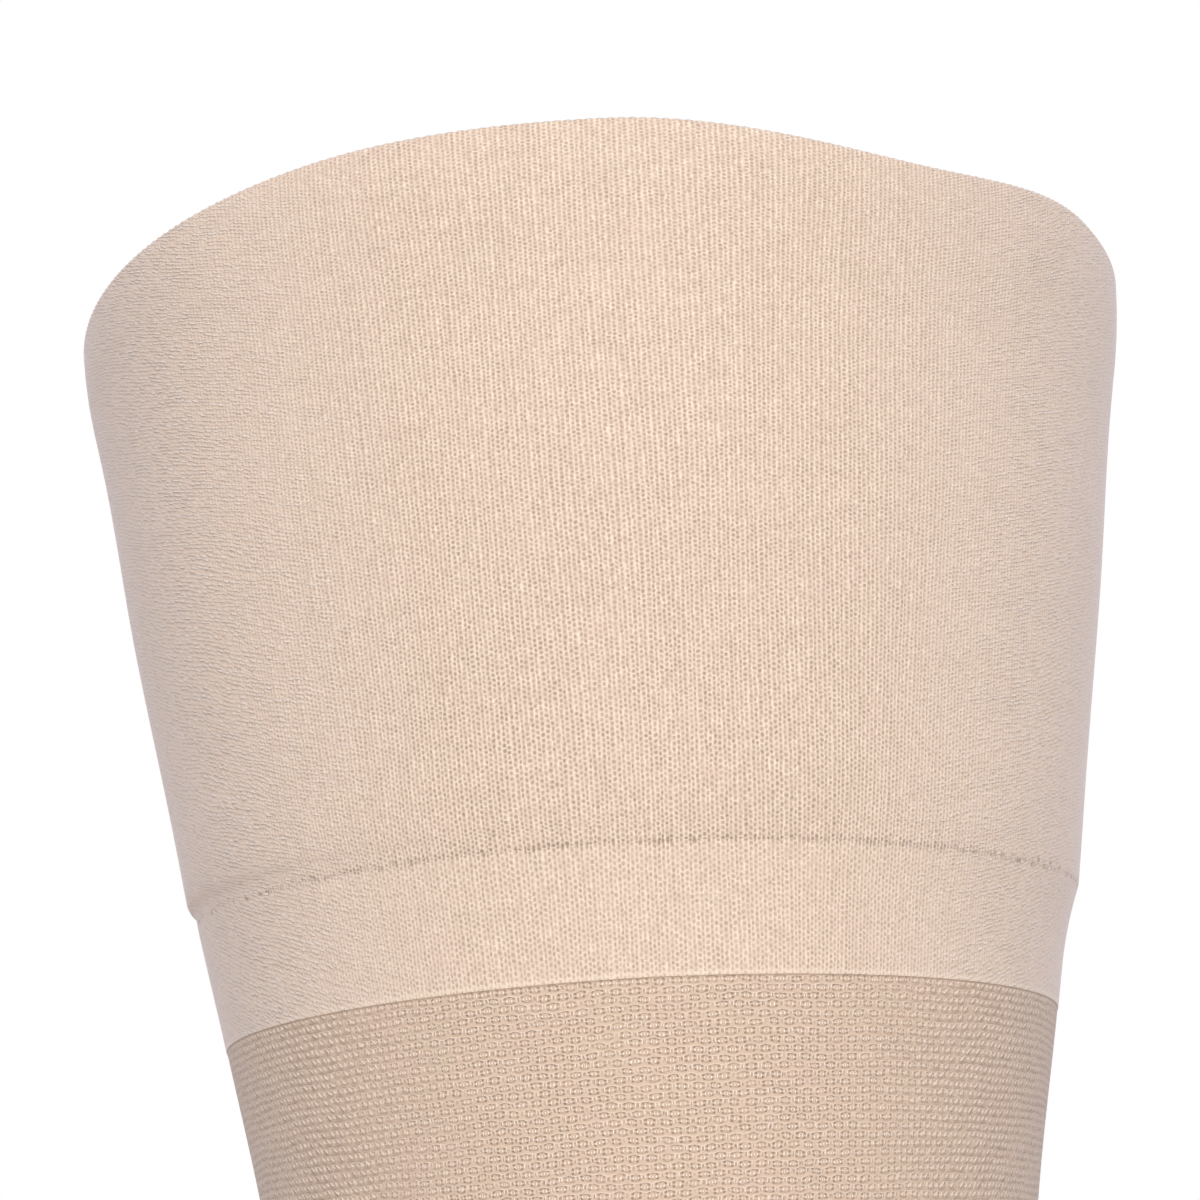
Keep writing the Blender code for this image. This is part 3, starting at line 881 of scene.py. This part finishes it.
gore = dict(step=1.5 * mm, width=1.15 * mm, height=0.95 * mm, depth=0.45 * mm, lift=1.28 * mm,
            sides=6, steps=10, yarn=0.17, slant=0.6, unevenTilt=0.08, colour=(0.66, 0.51, 0.405))


def makeHeelGores():
    # a line of slanted loops up each side of the heel, where it was knitted on to the instep
    loop = loopMesh(gore["sides"], gore["steps"], gore["yarn"])
    size = (gore["width"], gore["height"], gore["depth"])
    count = round((reachOf["arch"] - reachOf["heelTop"]) / gore["step"])
    matrices = []
    for turn, slant in ((0.0, gore["slant"]), (math.pi, -gore["slant"])):
        for k in range(count + 1):
            reach = reachOf["heelTop"] + (reachOf["arch"] - reachOf["heelTop"]) * k / count
            tilt = slant + rng.normal(0, gore["unevenTilt"])
            matrices.append(stitchMatrix(reach, turn, gore["lift"], size, tilt))
    return sewRow("heelGores", loop, matrices)


seamYarn = plainYarn("seamYarn", gore["colour"])
heelGores = makeHeelGores()
dress(heelGores, seamYarn, "heel_knit")

toeSeam = dict(place=6 * mm, start=0.03, end=0.97, samples=61, step=1.1 * mm, width=1.2 * mm,
               height=1.9 * mm, depth=1.0 * mm, lift=1.35 * mm, sides=6, steps=10, yarn=0.15,
               slant=0.5, unevenTilt=0.06)


def makeToeSeam():
    # the toe is closed over the toes by a ridge of crossing loops
    loop = loopMesh(toeSeam["sides"], toeSeam["steps"], toeSeam["yarn"])
    reach = reaches[-1] + toeSeam["place"]
    turns = np.linspace(toeSeam["start"], toeSeam["end"], toeSeam["samples"]) * math.pi
    across = skinPoints(reach, turns)
    count = round(np.linalg.norm(np.diff(across, axis=0), axis=1).sum() / toeSeam["step"])
    size = (toeSeam["width"], toeSeam["height"], toeSeam["depth"])
    matrices = []
    for k in range(count + 1):
        turn = math.pi * (toeSeam["start"] + (toeSeam["end"] - toeSeam["start"]) * k / count)
        for slant in (toeSeam["slant"], -toeSeam["slant"]):
            tilt = slant + rng.normal(0, toeSeam["unevenTilt"])
            matrices.append(stitchMatrix(reach, turn, toeSeam["lift"], size, tilt))
    return sewRow("toeSeam", loop, matrices)


crossedLoops = makeToeSeam()
dress(crossedLoops, seamYarn, "heel_knit")
print("heel gores and toe seam sewn")


# what was knitted, measured flat and slack; the lengths are reckoned but not kept
relax = 1.25  # how much longer each course is on the leg than on the table


def ringLength(name):
    points = skinPoints(reachOf[name], np.radians(np.arange(361)))
    return np.linalg.norm(np.diff(points, axis=0), axis=1).sum()


bandLength = reachOf["linkingRow"]
stripLength = reachOf["legTop"] - reachOf["linkingRow"]
ringLength("rim") / relax
bandLength * (ringLength("rim") + ringLength("linkingRow")) / 2 / relax
ringLength("linkingRow") / relax
stripLength * (ringLength("linkingRow") + ringLength("legTop")) / 2 / relax


# white surroundings, a large soft light in front, a weaker one behind and a pale floor
studio = dict(surround=0.415, floor=(0.90, 0.89, 0.88), floorHalf=1.0, floorGap=0.5 * mm, roughness=0.9)
lights = {
    "keyLight": dict(place=(0.04, -1.6, 0.75), size=1.8, power=34.2),
    "backLight": dict(place=(0.0, 1.8, 0.5), size=1.5, power=20.0),
}


def softLight(name, place, size, power):
    # aimed at the origin, in the middle of the band
    data = bpy.data.lights.new(name, "AREA")
    data.shape = "SQUARE"
    data.size = size
    data.energy = power
    made = bpy.data.objects.new(name, data)
    made.location = place
    made.rotation_euler = (-Vector(place)).to_track_quat("-Z", "Y").to_euler()
    bpy.context.collection.objects.link(made)


def setStudio():
    world = bpy.data.worlds.new("studio")
    bpy.context.scene.world = world
    world.use_nodes = True
    tree = world.node_tree
    background = tree.nodes["Background"]
    background.inputs["Color"].default_value = (1, 1, 1, 1)
    seen = tree.nodes.new("ShaderNodeLightPath")
    strength = tree.nodes.new("ShaderNodeMapRange")
    strength.inputs["To Min"].default_value = studio["surround"]
    strength.inputs["To Max"].default_value = 1.0
    tree.links.new(seen.outputs["Is Camera Ray"], strength.inputs["Value"])
    tree.links.new(strength.outputs["Result"], background.inputs["Strength"])
    for name, light in lights.items():
        softLight(name, **light)

    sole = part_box("foot")[0][2]
    bm = bmesh.new()
    bmesh.ops.create_grid(bm, x_segments=1, y_segments=1, size=studio["floorHalf"],
                          matrix=Matrix.Translation((0, 0, sole - studio["floorGap"])))
    floor = finishPiece("floor", bm)
    matt = bpy.data.materials.new("paleFloor")
    matt.use_nodes = True
    shader = matt.node_tree.nodes["Principled BSDF"]
    shader.inputs["Base Color"].default_value = (*studio["floor"], 1)
    shader.inputs["Roughness"].default_value = studio["roughness"]
    floor.data.materials.append(matt)
    bpy.context.scene.view_settings.view_transform = "Standard"


setStudio()
print("studio lit")
